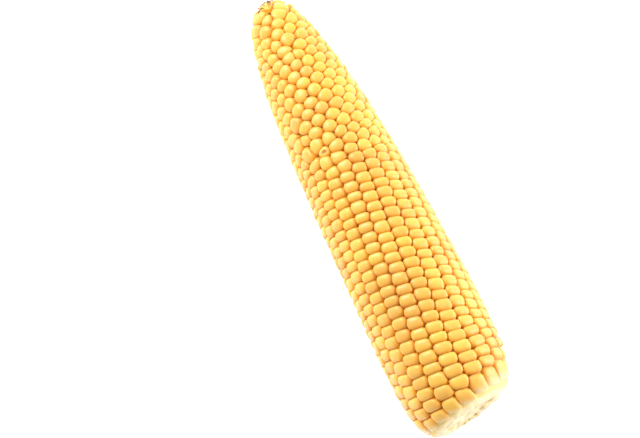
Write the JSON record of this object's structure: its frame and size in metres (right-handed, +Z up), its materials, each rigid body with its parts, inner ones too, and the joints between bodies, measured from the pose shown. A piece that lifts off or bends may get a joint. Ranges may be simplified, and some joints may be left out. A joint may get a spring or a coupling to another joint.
{
  "type": "ear of sweet corn",
  "caption": "Husked ear of sweet corn lying on a table, with rows of yellow kernels round a tapered core and a snapped stalk end.",
  "frame": {"origin": "middle of the ear's bounding box on the table it lies on", "axes": "+Y along the ear from the snapped stalk end to the tip, +Z up from the table"},
  "size_m": [0.0502, 0.2116, 0.0511],
  "materials": {
    "kernel_skin": "satin",
    "cob_pith": "matte"
  },
  "bodies": {
    "root": {"cob_core": "cob_pith", "kernel_row_01": "kernel_skin", "kernel_row_02": "kernel_skin", "kernel_row_03": "kernel_skin", "kernel_row_04": "kernel_skin", "kernel_row_05": "kernel_skin", "kernel_row_06": "kernel_skin", "kernel_row_07": "kernel_skin", "kernel_row_08": "kernel_skin", "kernel_row_09": "kernel_skin", "kernel_row_10": "kernel_skin", "kernel_row_11": "kernel_skin", "kernel_row_12": "kernel_skin", "kernel_row_13": "kernel_skin", "kernel_row_14": "kernel_skin", "kernel_row_15": "kernel_skin", "kernel_row_16": "kernel_skin", "kernel_row_17": "kernel_skin", "kernel_row_18": "kernel_skin", "kernel_row_19": "kernel_skin", "kernel_row_20": "kernel_skin", "kernel_row_21": "kernel_skin", "kernel_row_22": "kernel_skin"}
  },
  "joints": []
}
